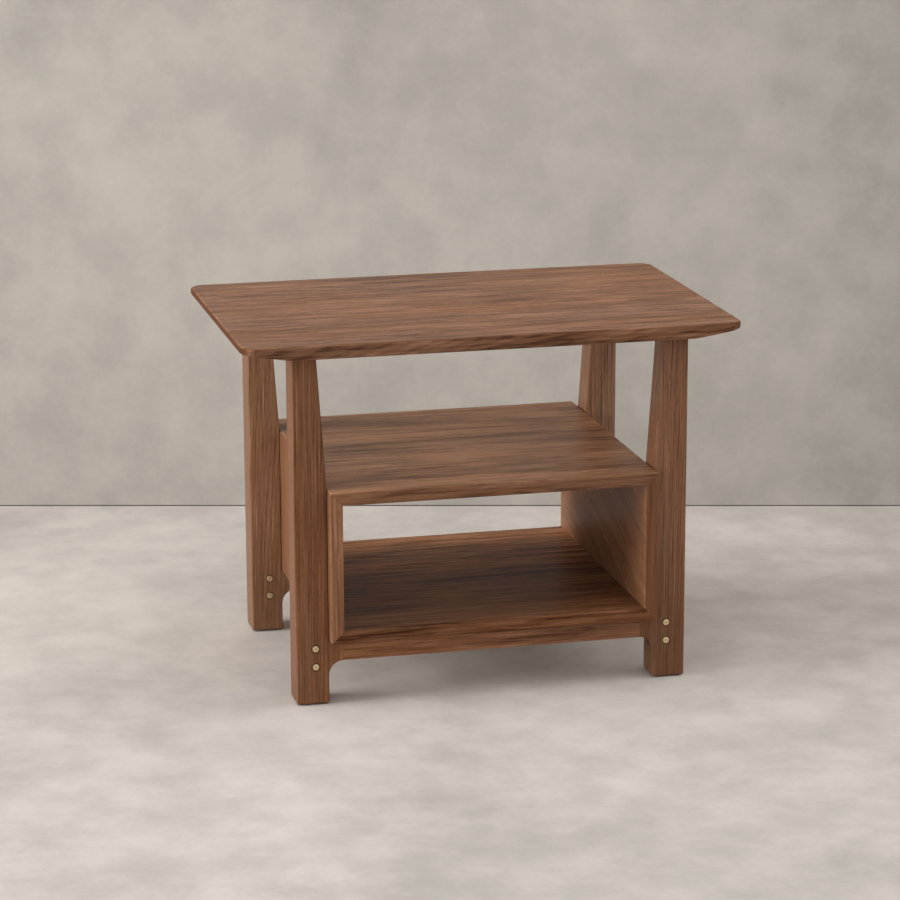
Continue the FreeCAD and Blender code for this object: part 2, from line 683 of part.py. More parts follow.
def write_parts():
    os.makedirs("parts", exist_ok=True)
    for item in sub_parts():
        item.Shape.exportStep(os.path.join("parts", f"{item.Label}.step"))
        print(item.Label, len(item.Shape.Solids), round(item.Shape.Volume))


make_table()
doc.recompute()
check_model()
write_parts()
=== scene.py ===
import math

import bpy
from mathutils import Matrix, Vector


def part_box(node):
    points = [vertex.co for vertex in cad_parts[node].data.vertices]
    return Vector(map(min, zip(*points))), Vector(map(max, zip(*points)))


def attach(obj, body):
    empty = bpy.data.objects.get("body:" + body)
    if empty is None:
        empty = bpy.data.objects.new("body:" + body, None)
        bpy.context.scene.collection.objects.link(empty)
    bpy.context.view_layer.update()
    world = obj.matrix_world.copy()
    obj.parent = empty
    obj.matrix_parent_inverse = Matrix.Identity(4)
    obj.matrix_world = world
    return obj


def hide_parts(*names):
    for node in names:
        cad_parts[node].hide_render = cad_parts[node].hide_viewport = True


# A walnut side table with an open mitred box, in metres. X runs along the table, Y from its front to its
# back and Z up. The wood is a solid pattern: every board and leg is cut from its own place in a tree.

# Camera: turned about the table's middle, then moved sideways, up and away in its own directions
CAMERA_TARGET = Vector((0.0, 0.0, 0.25))
CAMERA_YAW = math.radians(13.47)
CAMERA_PITCH = math.radians(14.25)
CAMERA_ROLL = math.radians(-0.23)
CAMERA_SIDE = 0.01257
CAMERA_RISE = -0.03841
CAMERA_DISTANCE = 4.4038
FOCAL_PIXELS = 3158.0
IMAGE_PIXELS = 900.0
SENSOR_WIDTH = 36.0

# Stage
WALL_LINE_PIXEL = 506.4
WALL_HEIGHT = 2.6
WALL_OVERHANG = 2.4
# Painted shade at the wall's foot: the wall starts this high, and the dark strip stands this far behind it
WALL_SHADE_LINE = 0.0026
WALL_SHADE_LINE_OFFSET = 0.002
FLOOR_REACH = 7.0
FLOOR_COLOUR = (0.604, 0.562, 0.524)
WALL_COLOUR = (0.426, 0.398, 0.361)
# Colour of the painted shade at the foot of the wall
WALL_SHADE_LINE_COLOUR = (0.12, 0.11, 0.10)
SKY_COLOUR = (0.62, 0.57, 0.51)

# Light
SKY_LIGHT = (1.0, 0.99, 0.975)
SKY_STRENGTH = 0.80
LAMP_SIZE = 2.4
LAMP_SPREAD = math.radians(90.0)
LAMP_COLOUR = (1.0, 0.985, 0.965)
KEY_PLACE = Vector((-4.10, 0.0, 1.22))
KEY_POWER = 56.0
FILL_PLACE = Vector((2.46, 0.0, 1.97))
FILL_POWER = 8.5

# Wood
WALNUT_DARK = (0.070, 0.026, 0.0115)
WALNUT_MID = (0.190, 0.081, 0.0385)
WALNUT_LIGHT = (0.310, 0.148, 0.078)
WALNUT = (WALNUT_DARK, WALNUT_MID, WALNUT_LIGHT)
# Painted light: how much paler the wood is painted where light falls in at the back of the box
PAINTED_LIGHT_GAIN = (3.4, 3.8, 4.2)
BEECH_DARK = (0.42, 0.27, 0.15)
BEECH_MID = (0.55, 0.38, 0.22)
BEECH_LIGHT = (0.66, 0.48, 0.31)
BEECH = (BEECH_DARK, BEECH_MID, BEECH_LIGHT)
RING_WIDTH = 0.0042
WANDER = 0.035
CURL = (0.004, 0.004)
OIL_LEVEL = 0.12
OIL_ROUGHNESS = 0.37
WANDER_NOISE = (1.7, 4.0, 4.0)
WARP_NOISE = (12.0, 90.0, 90.0)
WARP = 0.0035
CURL_NOISE = (3.0, 9.0, 9.0)
BAND_NOISE = (26.0, 90.0, 0.0)
BAND_RINGS = 3.0
BAND_SHARE = 0.25
STREAK_NOISE = (4.0, 95.0, 95.0)
STREAK_SHARE = 0.95
FIBRE_NOISE = (9.0, 340.0, 340.0)
FIBRE_SHARE = 2.0
CLOUD_NOISE = (2.2, 12.0, 12.0)
FLECK_NOISE = (24.0, 300.0, 300.0)
FLECK_SHARE = 0.14
PORE_NOISE = (75.0, 1100.0, 1100.0)
PORE_SHARE = 0.4
RING_EARLY = 0.25
RING_LATE = 0.88
MIDDLE_TONE = 0.60
DULLEST = 0.94
MOST_VIVID = 1.06
END_GRAIN_SHARE = 0.95
END_GRAIN_ROUGHNESS = 0.35
# Share of the painted highlight on the arrises
EDGE_HIGHLIGHT_SHARE = 0.05
GRAIN_BUMP = 0.35
GRAIN_DEPTH = 0.00025
# Width of the painted highlight on the arrises
EDGE_HIGHLIGHT_WIDTH = 0.0022
# Painted shade on the left side board's outer face and arris: its share, and how far in it fades
LEFT_OUTER_SHADE_TONE = 0.45
LEFT_OUTER_SHADE_DEPTH = 0.0045
# Painted shade towards the foot of the legs: full below the first height, gone above the second
PAINTED_FOOT_SHADE_LOW = 0.03
PAINTED_FOOT_SHADE_HIGH = 0.22
JOINT_LINE_WIDTH = 0.0006
JOINT_LINE_TONE = 0.35
# Painted shadow round the pins: how far out it reaches, and its share
PIN_SHADOW_RADIUS = 0.0070
PIN_SHADOW_TONE = 1.0

# Brass pins
BRASS = (0.76, 0.61, 0.38)
BRASS_STAINED = (0.64, 0.49, 0.29)
BRASS_DULL = (0.30, 0.17, 0.08)
TURNED_RINGS = 26000.0
TURNED_DEPTH = 0.00005
PIN_SIDES = 48
PIN_RADIUS = 0.0045
PIN_EDGE = 0.0005
PIN_DOME = 0.00025
PIN_DOME_SHARE = 0.62
DIMPLE_RADIUS = 0.0012
DIMPLE_DEPTH = 0.0006
DIMPLE_FLOOR_SHARE = 0.25

# Glides
STEEL = (0.030, 0.025, 0.021)
STEEL_SCUFFED = (0.10, 0.085, 0.07)


class Nodes:
    """Short calls for building one node tree."""

    def __init__(self, tree):
        self.tree = tree

    def add(self, kind, **settings):
        node = self.tree.nodes.new(kind)
        for key, value in settings.items():
            setattr(node, key, value)
        return node

    def put(self, socket, value):
        """Links a socket to another node's output, or sets its value."""
        if isinstance(value, bpy.types.NodeSocket):
            self.tree.links.new(value, socket)
        elif value is not None:
            socket.default_value = value

    def math(self, operation, first, second=None, clamp=False):
        node = self.add("ShaderNodeMath", operation=operation, use_clamp=clamp)
        self.put(node.inputs[0], first)
        self.put(node.inputs[1], second)
        return node.outputs[0]

    def vector(self, operation, first, second=None):
        node = self.add("ShaderNodeVectorMath", operation=operation)
        self.put(node.inputs[0], first)
        self.put(node.inputs[1], second)
        return node.outputs["Value"] if operation in ("LENGTH", "DOT_PRODUCT") else node.outputs["Vector"]

    def split(self, vector):
        node = self.add("ShaderNodeSeparateXYZ")
        self.put(node.inputs[0], vector)
        return node.outputs

    def join(self, x, y, z):
        node = self.add("ShaderNodeCombineXYZ")
        for socket, value in zip(node.inputs, (x, y, z)):
            self.put(socket, value)
        return node.outputs[0]

    def noise(self, place, stretch, detail=2.0, roughness=0.5):
        """Noise drawn out by its three frequencies, per metre. Gives the noise node."""
        node = self.add("ShaderNodeTexNoise")
        self.put(node.inputs["Vector"], self.vector("MULTIPLY", place, stretch))
        node.inputs["Scale"].default_value = 1.0
        node.inputs["Detail"].default_value = detail
        node.inputs["Roughness"].default_value = roughness
        return node

    def shift(self, place, stretch, detail, reach):
        """A noisy vector that lies evenly about zero, within half the reach."""
        noise = self.noise(place, stretch, detail).outputs["Color"]
        return self.vector("MULTIPLY", self.vector("SUBTRACT", noise, (0.5, 0.5, 0.5)), reach)

    def smooth(self, value, low, high, start=0.0, end=1.0):
        """A smooth step from start to end as the value goes from low to high."""
        node = self.add("ShaderNodeMapRange", interpolation_type="SMOOTHSTEP")
        for socket, item in zip(node.inputs, (value, low, high, start, end)):
            self.put(socket, item)
        return node.outputs[0]

    def mix(self, factor, first, second, blend="MIX"):
        node = self.add("ShaderNodeMix", data_type="RGBA", blend_type=blend, clamp_factor=True)
        self.put(node.inputs["Factor"], factor)
        self.put(node.inputs[6], first)
        self.put(node.inputs[7], second)
        return node.outputs[2]


def rgba(colour):
    return (*colour, 1.0)


def centred(n, value, amount):
    """A noise value moved to lie evenly about zero, times an amount."""
    return n.math("MULTIPLY", n.math("SUBTRACT", value, 0.5), amount)


# Wood

def make_wood_group():
    """Wood as a solid: rings about a wandering pith, with streaks, fibre and pores drawn out along X."""
    group = bpy.data.node_groups.new("wood_grain", "ShaderNodeTree")
    for name, kind in (("Place", "Vector"), ("Pith", "Vector"), ("Lean", "Vector"), ("Seed", "Vector"),
                       ("Wander", "Float"), ("Contrast", "Float"), ("Clouds", "Float"),
                       ("Curl", "Vector"), ("Fineness", "Float"), ("Ring Width", "Float"), ("Rings", "Float"),
                       ("Dark", "Color"), ("Mid", "Color"), ("Light", "Color"), ("End Grain", "Float"),
                       ("Edge", "Float"), ("Painted Light", "Float"), ("Darkening", "Float")):
        group.interface.new_socket(name=name, in_out="INPUT", socket_type=f"NodeSocket{kind}")
    for name, kind in (("Colour", "Color"), ("Roughness", "Float"), ("Height", "Float")):
        group.interface.new_socket(name=name, in_out="OUTPUT", socket_type=f"NodeSocket{kind}")
    n = Nodes(group)
    given = n.add("NodeGroupInput").outputs
    made = n.add("NodeGroupOutput").inputs

    seeded = n.vector("ADD", given["Place"], given["Seed"])
    wander = n.shift(seeded, WANDER_NOISE, 1.0, n.join(0.0, given["Wander"], given["Wander"]))
    warp = n.shift(seeded, WARP_NOISE, 2.0, (0.0, WARP, WARP))
    curl = n.shift(seeded, CURL_NOISE, 2.0, given["Curl"])
    thinner = n.join(1.0, given["Fineness"], given["Fineness"])
    lines = n.vector("MULTIPLY", n.vector("ADD", seeded, curl), thinner)
    along = n.split(given["Place"])[0]
    heart = n.vector("ADD", given["Pith"], n.vector("MULTIPLY", n.join(along, along, along), given["Lean"]))
    across = n.vector("ADD", n.vector("SUBTRACT", given["Place"], heart), n.vector("ADD", wander, warp))
    radius = n.vector("LENGTH", n.vector("MULTIPLY", across, (0.0, 1.0, 1.0)))

    bands = n.noise(n.join(radius, given["Wander"], 0.0), BAND_NOISE, 2.0).outputs["Fac"]
    count = n.math("ADD", n.math("DIVIDE", radius, given["Ring Width"]), centred(n, bands, BAND_RINGS))
    ring = n.math("FRACT", count)
    late = n.math("MULTIPLY", n.smooth(ring, RING_EARLY, RING_LATE), n.smooth(ring, RING_LATE, 1.0, 1.0, 0.0))

    streaks = n.noise(lines, STREAK_NOISE, 3.0, 0.6).outputs["Fac"]
    fibre = n.noise(lines, FIBRE_NOISE, 3.0, 0.65).outputs["Fac"]
    clouds = n.noise(seeded, CLOUD_NOISE, 2.0).outputs["Fac"]
    flecks = n.smooth(n.noise(lines, FLECK_NOISE, 1.0).outputs["Fac"], 0.60, 0.72)
    dashes = n.noise(seeded, PORE_NOISE, 1.0).outputs["Fac"]
    pores = n.math("MULTIPLY", n.smooth(dashes, 0.58, 0.70), n.smooth(late, 0.0, 1.0, 1.0, 0.35))

    tone = n.math("ADD", centred(n, bands, BAND_SHARE), centred(n, streaks, STREAK_SHARE))
    tone = n.math("ADD", tone, centred(n, fibre, FIBRE_SHARE))
    tone = n.math("ADD", tone, centred(n, clouds, given["Clouds"]))
    tone = n.math("SUBTRACT", tone, n.math("MULTIPLY", late, given["Rings"]))
    tone = n.math("SUBTRACT", tone, n.math("MULTIPLY", flecks, FLECK_SHARE))
    tone = n.math("ADD", n.math("MULTIPLY", tone, given["Contrast"]), MIDDLE_TONE, clamp=True)
    darker = n.smooth(tone, 0.0, 0.5)
    lighter = n.smooth(tone, 0.5, 1.0)
    colour = n.mix(lighter, n.mix(darker, given["Dark"], given["Mid"]), given["Light"])
    vivid = n.add("ShaderNodeHueSaturation")
    n.put(vivid.inputs["Saturation"], n.smooth(clouds, 0.3, 0.7, DULLEST, MOST_VIVID))
    n.put(vivid.inputs["Color"], colour)
    colour = n.mix(n.math("MULTIPLY", pores, PORE_SHARE), vivid.outputs["Color"], given["Dark"])
    # Painted light: a paler share of the colour where light falls in at the back of the box
    colour = n.mix(given["Painted Light"], colour, n.mix(1.0, colour, rgba(PAINTED_LIGHT_GAIN), blend="MULTIPLY"))
    colour = n.mix(n.math("MULTIPLY", given["End Grain"], END_GRAIN_SHARE), colour, given["Dark"])
    # Painted highlight: the arrises mixed towards the light colour
    colour = n.mix(n.math("MULTIPLY", given["Edge"], EDGE_HIGHLIGHT_SHARE), colour, given["Light"])
    # Dark glue lines, and painted shade: on faces turned to X or Y, round the pins, towards the feet and on
    # the left board's outer face
    colour = n.mix(given["Darkening"], colour, given["Dark"])
    n.put(made["Colour"], colour)

    rough = n.math("ADD", centred(n, fibre, 0.25), n.math("MULTIPLY", pores, 0.18))
    rough = n.math("ADD", rough, n.math("MULTIPLY", given["End Grain"], END_GRAIN_ROUGHNESS))
    n.put(made["Roughness"], n.math("ADD", rough, OIL_ROUGHNESS))
    height = n.math("SUBTRACT", n.math("MULTIPLY", fibre, 0.7), n.math("MULTIPLY", pores, 0.8))
    n.put(made["Height"], n.math("SUBTRACT", height, n.math("MULTIPLY", given["Darkening"], 1.5)))
    return group


def grain_axes(grain):
    """Three directions square to each other, the first along the grain. The grain never runs along Y."""
    along = Vector(grain).normalized()
    across = Vector((0.0, 1.0, 0.0)).cross(along).normalized()
    return along, across, along.cross(across)


def painted_edge_highlight(n):
    """Painted highlight: one on the arrises, falling to zero a little way in."""
    soft = n.add("ShaderNodeBevel", samples=6)
    soft.inputs["Radius"].default_value = EDGE_HIGHLIGHT_WIDTH
    sharp = n.add("ShaderNodeNewGeometry").outputs["Normal"]
    return n.smooth(n.vector("DOT_PRODUCT", soft.outputs[0], sharp), 0.995, 0.90)


def wood(name, grain, pith, seed, lean=(0.0, 0.0), palette=WALNUT, tone=1.0, tint=(1.0, 1.0, 1.0),
         oil=OIL_LEVEL, wander=WANDER, curl=CURL, fineness=1.0, ring_width=RING_WIDTH, rings=0.12,
         edge_rings=0.0, contrast=1.0, clouds=0.3, painted_face_shade=(0.0, 0.0), face_grain=None, painted_light_span=None,
         darkening=None):
    """An oiled wood. The pith is a place in the heart of its tree, which leans away from the board's grain.

    Faces across X and across Y are darkened by painted shade, each by its own share, and those across X
    can have a grain of their own. A paler colour is painted light, from one place along Y to another, with
    its share, and not on faces across Y. A darkening gives the share of dark wood at a place: glue lines,
    and painted shade where it is passed in.
    """
    material = bpy.data.materials.new(name)
    material.use_nodes = True
    n = Nodes(material.node_tree)
    shader = n.tree.nodes["Principled BSDF"]
    where = n.add("ShaderNodeTexCoord").outputs
    along, across, third = grain_axes(grain)
    place = n.join(*[n.vector("DOT_PRODUCT", where["Object"], axis) for axis in (along, across, third)])
    facing = n.vector("DOT_PRODUCT", where["Normal"], along)
    facing_x, facing_y, _ = n.split(where["Normal"])
    side_face = n.smooth(n.math("ABSOLUTE", facing_x), 0.5, 0.85)
    front_face = n.smooth(n.math("ABSOLUTE", facing_y), 0.5, 0.85)
    if face_grain:
        turned = n.join(*[n.vector("DOT_PRODUCT", where["Object"], axis) for axis in grain_axes(face_grain)])
        choose = n.add("ShaderNodeMix", data_type="VECTOR")
        n.put(choose.inputs["Factor"], n.math("GREATER_THAN", side_face, 0.5))
        n.put(choose.inputs[4], place)
        n.put(choose.inputs[5], turned)
        place = choose.outputs[1]
    heart = Vector(pith)
    grown = n.add("ShaderNodeGroup", node_tree=bpy.data.node_groups["wood_grain"])
    n.put(grown.inputs["Place"], place)
    for socket, value in (("Pith", (0.0, heart.dot(across), heart.dot(third))), ("Lean", (0.0, *lean)),
                          ("Seed", seed), ("Wander", wander), ("Curl", (0.0, *curl)), ("Fineness", fineness),
                          ("Ring Width", ring_width), ("Contrast", contrast), ("Clouds", clouds)):
        grown.inputs[socket].default_value = value
    for socket, colour in zip(("Dark", "Mid", "Light"), palette):
        grown.inputs[socket].default_value = rgba([part * tone * share for part, share in zip(colour, tint)])
    n.put(grown.inputs["End Grain"], n.smooth(n.math("ABSOLUTE", facing), 0.45, 0.9))
    # Painted light, rising along Y towards the back, not on faces across Y
    if painted_light_span:
        front, back, share = painted_light_span
        painted_light_share = n.smooth(n.split(where["Object"])["Y"], front, back, 0.0, share)
        n.put(grown.inputs["Painted Light"], n.math("MULTIPLY", painted_light_share, n.math("SUBTRACT", 1.0, front_face)))
    n.put(grown.inputs["Rings"], n.math("ADD", n.math("MULTIPLY", front_face, edge_rings), rings))
    n.put(grown.inputs["Edge"], painted_edge_highlight(n))
    # Painted shade on faces turned to X and to Y
    shade = n.math("MAXIMUM", n.math("MULTIPLY", side_face, painted_face_shade[0]),
                   n.math("MULTIPLY", front_face, painted_face_shade[1]))
    if darkening:
        shade = n.math("MAXIMUM", shade, darkening(n, n.split(where["Object"])))
    n.put(grown.inputs["Darkening"], shade)
    bump = n.add("ShaderNodeBump")
    bump.inputs["Strength"].default_value = GRAIN_BUMP
    bump.inputs["Distance"].default_value = GRAIN_DEPTH
    n.put(bump.inputs["Height"], grown.outputs["Height"])
    n.put(shader.inputs["Base Color"], grown.outputs["Colour"])
    n.put(shader.inputs["Roughness"], grown.outputs["Roughness"])
    shader.inputs["Specular IOR Level"].default_value = oil
    n.put(shader.inputs["Normal"], bump.outputs["Normal"])
    return material


def thin_line(n, distance):
    """One where a signed distance is nearly zero."""
    return n.smooth(n.math("ABSOLUTE", distance), 0.0, JOINT_LINE_WIDTH, 1.0, 0.0)


def mitre_lines():
    """The glue lines of the box, where its boards meet at their mitred ends."""
    _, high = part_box("shelf_board")
    bottom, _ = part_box("bottom_board")
    _, side_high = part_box("right_side_board")
    half_width = side_high.x
    half_height = (high.z - bottom.z) / 2
    middle = (high.z + bottom.z) / 2

    def darkening(n, at):
        from_side = n.math("SUBTRACT", half_width, n.math("ABSOLUTE", at["X"]))
        from_top = n.math("SUBTRACT", half_height, n.math("ABSOLUTE", n.math("SUBTRACT", at["Z"], middle)))
        return n.math("MULTIPLY", thin_line(n, n.math("SUBTRACT", from_side, from_top)), JOINT_LINE_TONE)

    return darkening


def left_side_lines_and_painted_shade(mitre):
    """The glue lines of the left side board, and painted shade on its outer face and rounded arris."""
    low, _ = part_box("left_side_board")

    def darkening(n, at):
        # Painted shade over the outer face and its rounded arris
        painted_outer_shade = n.smooth(at["X"], low.x, low.x + LEFT_OUTER_SHADE_DEPTH, LEFT_OUTER_SHADE_TONE, 0.0)
        return n.math("MAXIMUM", mitre(n, at), painted_outer_shade)

    return darkening


def ear_lines():
    """The glue lines where the rails meet the ears of the legs."""
    _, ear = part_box("front_left_leg")

    def darkening(n, at):
        line = thin_line(n, n.math("ADD", n.math("ABSOLUTE", at["X"]), ear.x))
        return n.math("MULTIPLY", line, JOINT_LINE_TONE)

    return darkening


def pin_painted_shadows():
    """Painted shadow: dark rings in the wood round the pins."""
    low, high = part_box("brass_pins")
    middle = (high.z + low.z) / 2
    from_middle = high.z - PIN_RADIUS - middle
    from_centre = high.x - PIN_RADIUS

    def darkening(n, at):
        across = n.math("SUBTRACT", n.math("ABSOLUTE", at["X"]), from_centre)
        along = n.math("SUBTRACT", n.math("ABSOLUTE", n.math("SUBTRACT", at["Z"], middle)), from_middle)
        distance = n.vector("LENGTH", n.join(across, along, 0.0))
        return n.math("MULTIPLY", n.smooth(distance, PIN_RADIUS, PIN_SHADOW_RADIUS, 1.0, 0.0), PIN_SHADOW_TONE)

    return darkening


def pin_and_foot_painted_shades(rings, share):
    """Painted shadow round the pins, and painted shade on the leg towards the foot."""

    def darkening(n, at):
        # Painted shade, darker towards the foot
        low_painted_shade = n.smooth(at["Z"], PAINTED_FOOT_SHADE_LOW, PAINTED_FOOT_SHADE_HIGH, share, 0.0)
        return n.math("MAXIMUM", rings(n, at), low_painted_shade)

    return darkening


def dress(node, material):
    """Gives a CAD node its finish and keeps its mesh."""
    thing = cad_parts[node]
    thing.data.materials.clear()
    thing.data.materials.append(material)


def dress_wood():
    """Each board, leg and rail gets its own cut of walnut, and the hidden joints get beech."""
    make_wood_group()
    mitre = mitre_lines()
    ear = ear_lines()
    # Painted shadow round the pins of the legs
    rings = pin_painted_shadows()
    flat = (1.0, 0.0, 0.0)
    upright = (0.0, 0.0, 1.0)
    dress("tabletop", wood(
        "walnut_tabletop", flat, (0.0, 0.05, 0.30), (1.3, 0.4, 2.1), lean=(0.0, -0.2), tone=1.17,
        tint=(1.0, 1.05, 1.1), wander=0.08, curl=(0.03, 0.004), fineness=0.5, ring_width=0.006, rings=0.04,
        edge_rings=0.14, contrast=1.25, painted_face_shade=(0.0, 0.25)))
    dress("shelf_board", wood(
        "walnut_shelf", flat, (0.0, -0.06, 0.16), (4.2, 1.1, 0.3), tone=1.55, tint=(1.0, 1.13, 1.22),
        curl=(0.02, 0.004), fineness=0.5, contrast=1.15, clouds=1.9, painted_face_shade=(0.0, 0.50), darkening=mitre))
    dress("bottom_board", wood(
        "walnut_bottom", flat, (0.0, 0.05, 0.02), (7.7, 2.3, 1.7), tone=0.80, oil=0.03, curl=(0.02, 0.004),
        fineness=0.6, contrast=1.4, clouds=1.0, painted_face_shade=(0.0, 0.15), painted_light_span=(-0.12, 0.20, 0.95),
        darkening=mitre))
    dress("left_side_board", wood(
        "walnut_left_side", upright, (-0.30, 0.04, 0.2), (2.9, 3.6, 0.8), lean=(0.02, 0.02), tone=1.22,
        tint=(1.0, 1.12, 1.28), contrast=0.9, darkening=left_side_lines_and_painted_shade(mitre)))
    dress("right_side_board", wood(
        "walnut_right_side", upright, (0.27, -0.1, 0.1), (9.1, 0.7, 3.3), tone=1.3, tint=(1.0, 1.07, 1.12),
        oil=0.04, wander=0.10, fineness=0.6, ring_width=0.006, rings=0.14, contrast=0.65, clouds=1.2,
        painted_face_shade=(0.0, 0.6), face_grain=(0.0, 3.0, 1.0), painted_light_span=(0.04, 0.21, 0.30), darkening=mitre))
    dress("front_rail", wood(
        "walnut_front_rail", flat, (0.15, -0.168, 0.07), (5.4, 0.2, 4.4), lean=(-0.04, 0.03), tone=1.2,
        tint=(1.0, 1.0, 0.98), wander=0.03, curl=(0.004, 0.01), ring_width=0.004, rings=0.14, clouds=0.8,
        darkening=ear))
    dress("back_rail", wood("walnut_back_rail", flat, (0.20, 0.20, 0.15), (6.6, 1.9, 2.2), darkening=ear))
    # The last two columns are painted shade: on the legs' faces turned to X, and towards the foot
    for node, pith, lean, ring, seed, tone, tint, painted_side_shade, painted_foot_shade in (
            ("front_left_leg", (-0.205, -0.18, 0.0), (0.005, 0.03), 0.0042, (3.7, 5.1, 1.2),
             1.05, (1.0, 0.98, 0.92), 0.42, 0.0),
            ("front_right_leg", (0.30, -0.20, 0.0), (0.015, 0.01), 0.0036, (8.3, 2.8, 0.6),
             1.18, (1.0, 1.06, 1.12), 0.2, 0.42),
            ("back_left_leg", (-0.20, 0.19, 0.0), (0.03, 0.03), 0.0045, (0.9, 4.4, 3.9),
             1.70, (1.0, 1.24, 1.46), 0.76, 0.42),
            ("back_right_leg", (0.19, 0.20, 0.0), (0.01, 0.02), 0.0040, (2.2, 6.0, 5.3),
             1.58, (1.0, 1.26, 1.6), 0.2, 0.2)):
        dress(node, wood(f"walnut_{node}", upright, pith, seed, lean=lean, tone=tone, tint=tint, oil=0.10,
                         wander=0.014, ring_width=ring, rings=0.40, contrast=0.66, clouds=0.25,
                         painted_face_shade=(painted_side_shade, 0.0), darkening=pin_and_foot_painted_shades(rings, painted_foot_shade)))
    beech = wood("beech_joints", flat, (0.0, 0.4, 0.6), (1.0, 1.0, 1.0), palette=BEECH)
    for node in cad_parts:
        if node.endswith(("_mitre_tongue", "_dowels")):
            dress(node, beech)


# Metal

def make_brass():
    """Satin brass with the fine rings that turning leaves, and a duller dimple."""
    material = bpy.data.materials.new("satin_brass")
    material.use_nodes = True
    n = Nodes(material.node_tree)
    shader = n.tree.nodes["Principled BSDF"]
    where = n.add("ShaderNodeTexCoord").outputs["Object"]
    radius = n.add("ShaderNodeAttribute", attribute_name="turned_radius").outputs["Fac"]
    rings = n.math("MULTIPLY_ADD", n.math("SINE", n.math("MULTIPLY", radius, TURNED_RINGS)), 0.5)
    stain = n.noise(where, (260.0, 260.0, 260.0), 3.0).outputs["Fac"]
    dull = n.smooth(radius, DIMPLE_RADIUS * 0.3, DIMPLE_RADIUS * 1.3, 1.0, 0.0)
    tint = n.mix(n.smooth(stain, 0.35, 0.7), rgba(BRASS), rgba(BRASS_STAINED))
    n.put(shader.inputs["Base Color"], n.mix(n.math("MULTIPLY", dull, 0.7), tint, rgba(BRASS_DULL)))
    shader.inputs["Metallic"].default_value = 1.0
    n.put(shader.inputs["Roughness"], n.smooth(stain, 0.3, 0.7, 0.34, 0.46))
    bump = n.add("ShaderNodeBump")
    bump.inputs["Strength"].default_value = 0.2
    bump.inputs["Distance"].default_value = TURNED_DEPTH
    n.put(bump.inputs["Height"], rings)
    n.put(shader.inputs["Normal"], bump.outputs["Normal"])
    return material


def make_dark_steel():
    """Bronzed steel of the glides, with scuffs."""
    material = bpy.data.materials.new("bronzed_steel")
    material.use_nodes = True
    n = Nodes(material.node_tree)
    shader = n.tree.nodes["Principled BSDF"]
    where = n.add("ShaderNodeTexCoord").outputs["Object"]
    scuffs = n.noise(where, (700.0, 160.0, 700.0), 3.0, 0.6).outputs["Fac"]
    n.put(shader.inputs["Base Color"], n.mix(n.smooth(scuffs, 0.45, 0.75), rgba(STEEL), rgba(STEEL_SCUFFED)))
    shader.inputs["Metallic"].default_value = 0.7
    n.put(shader.inputs["Roughness"], n.smooth(scuffs, 0.3, 0.7, 0.6, 0.42))
    return material


def pin_tree(material):
    """Turned brass rods: one rod with domed, dimpled ends, set at the eight places of the table's legs."""
    tree = bpy.data.node_groups.new("turned_pins", "GeometryNodeTree")
    tree.interface.new_socket(name="Geometry", in_out="OUTPUT", socket_type="NodeSocketGeometry")
    for name in ("Radius", "Length", "Along Table", "Front To Back", "Up"):
        tree.interface.new_socket(name=name, in_out="INPUT", socket_type="NodeSocketFloat")
    n = Nodes(tree)
    given = n.add("NodeGroupInput").outputs
    stock = n.math("SUBTRACT", given["Length"], (PIN_EDGE + PIN_DOME) * 2)
    rod = n.add("GeometryNodeMeshCylinder", fill_type="NGON")
    rod.inputs["Vertices"].default_value = PIN_SIDES
    n.put(rod.inputs["Radius"], given["Radius"])
    n.put(rod.inputs["Depth"], stock)
    ends = n.add("FunctionNodeBooleanMath", operation="OR")
    n.put(ends.inputs[0], rod.outputs["Top"])
    n.put(ends.inputs[1], rod.outputs["Bottom"])
    mesh, face = rod.outputs["Mesh"], ends.outputs[0]
    face_radius = PIN_RADIUS
    for step, radius in end_profile():
        push = n.add("GeometryNodeExtrudeMesh", mode="FACES")
        n.put(push.inputs["Mesh"], mesh)
        n.put(push.inputs["Selection"], face)
        push.inputs["Offset Scale"].default_value = step
        narrow = n.add("GeometryNodeScaleElements", domain="FACE")
        n.put(narrow.inputs["Geometry"], push.outputs["Mesh"])
        n.put(narrow.inputs["Selection"], push.outputs["Top"])
        narrow.inputs["Scale"].default_value = radius / face_radius
        mesh, face, face_radius = narrow.outputs["Geometry"], push.outputs["Top"], radius
    where = n.add("GeometryNodeInputPosition").outputs[0]
    store = n.add("GeometryNodeStoreNamedAttribute", data_type="FLOAT", domain="POINT")
    n.put(store.inputs["Geometry"], mesh)
    store.inputs["Name"].default_value = "turned_radius"
    n.put(store.inputs["Value"], n.vector("LENGTH", n.vector("MULTIPLY", where, (1.0, 1.0, 0.0))))
    shade = n.add("GeometryNodeSetShadeSmooth")
    n.put(shade.inputs["Geometry"], store.outputs["Geometry"])
    n.put(shade.inputs["Selection"], rod.outputs["Side"])
    lay = n.add("GeometryNodeTransform")
    n.put(lay.inputs["Geometry"], shade.outputs["Geometry"])
    lay.inputs["Rotation"].default_value = (math.pi / 2, 0.0, 0.0)
    placed = lay.outputs["Geometry"]
    for axis, name in enumerate(("Along Table", "Front To Back", "Up")):
        placed = pair_along(n, placed, axis, given[name])
    real = n.add("GeometryNodeRealizeInstances")
    n.put(real.inputs["Geometry"], placed)
    finish = n.add("GeometryNodeSetMaterial")
    n.put(finish.inputs["Geometry"], real.outputs["Geometry"])
    finish.inputs["Material"].default_value = material
    n.put(n.add("NodeGroupOutput").inputs["Geometry"], finish.outputs["Geometry"])
    return tree


